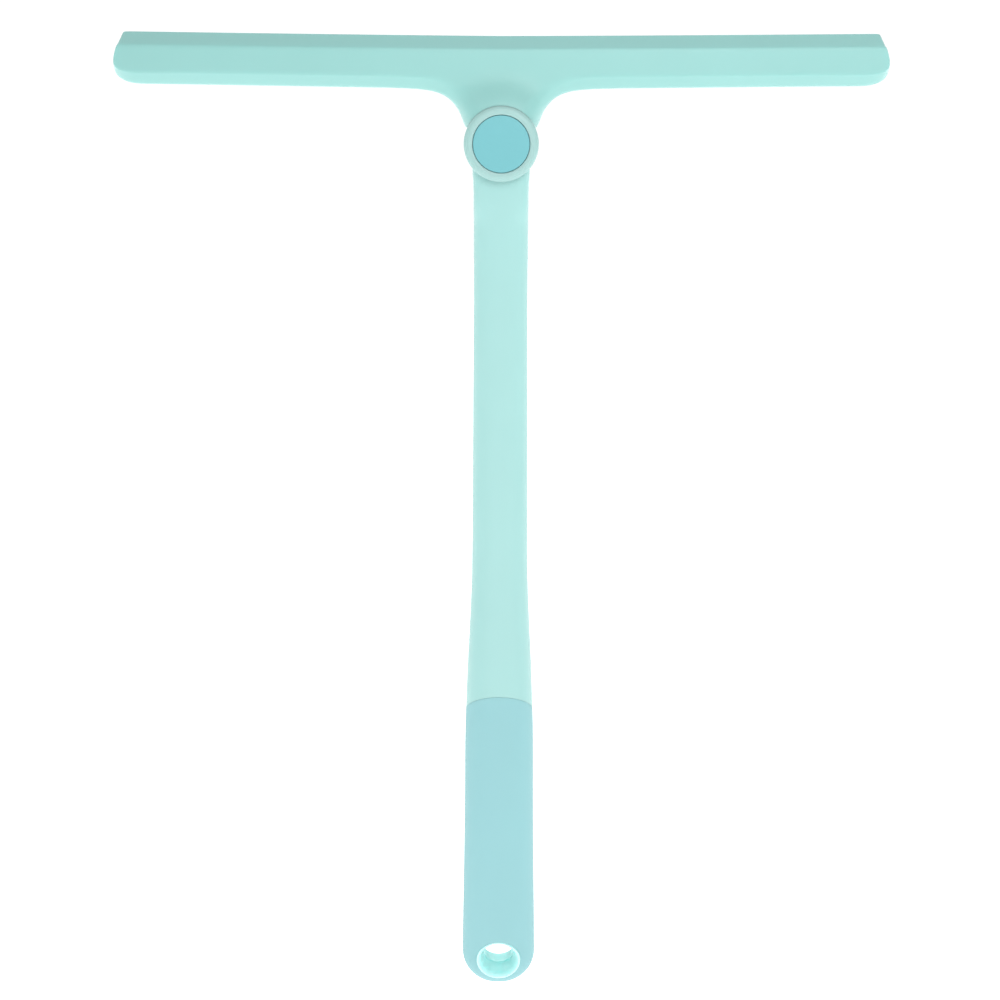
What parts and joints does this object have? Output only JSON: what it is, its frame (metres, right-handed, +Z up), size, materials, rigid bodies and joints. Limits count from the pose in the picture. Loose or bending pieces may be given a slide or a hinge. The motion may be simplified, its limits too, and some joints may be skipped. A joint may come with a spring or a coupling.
{
  "type": "window cleaning squeegee",
  "caption": "T-shaped window cleaning squeegee with a soft tapering blade head that swivels on a push-button hub, and a long arched handle with a rubber grip and a hanging hole.",
  "frame": {"origin": "middle of the hand grip, on the handle's centreline", "axes": "+Z up along the upper handle to the blade head, +X to the right along the blade, -Y out of the front face with the button, +Y to the back"},
  "size_m": [0.3024, 0.0663, 0.4074],
  "materials": {
    "handle_plastic": "satin moulded polypropylene",
    "core_plastic": "satin moulded nylon",
    "blade_silicone": "satin silicone rubber",
    "grip_rubber": "matte soft-touch rubber",
    "button_plastic": "satin moulded plastic",
    "lock_plastic": "acetal",
    "plated_steel": "zinc-plated steel",
    "washer_plastic": "nylon sheet"
  },
  "bodies": {
    "handle": {"handle_front_shell": "handle_plastic", "handle_rear_shell": "handle_plastic", "handle_screw_1": "plated_steel", "handle_screw_2": "plated_steel", "handle_screw_3": "plated_steel", "handle_screw_4": "plated_steel", "grip_sleeve": "grip_rubber", "eyelet_liner": "handle_plastic", "hub_bezel": "handle_plastic", "rear_hub_cap": "handle_plastic", "guide_post": "lock_plastic", "pivot_bolt": "plated_steel", "pivot_nut": "plated_steel", "front_friction_washer": "washer_plastic", "rear_friction_washer": "washer_plastic", "button_spring": "plated_steel"},
    "head": {"head_core": "core_plastic", "blade_head": "blade_silicone"},
    "button": {"release_button": "button_plastic", "lock_gear": "lock_plastic"}
  },
  "joints": [
    {"name": "head_swivel", "type": "hinge", "parent": "handle", "child": "head", "pos_m": [0, -0.02876, 0.28798], "axis": [0, 1, 0], "range_deg": [-60.25, 60.25]},
    {"name": "button_press", "type": "slide", "parent": "handle", "child": "button", "axis": [0, 1, 0], "range_m": [0, 0.0022], "stiffness_N_per_m": 1800, "springref_m": -0.0011, "deforming": ["button_spring"]}
  ]
}
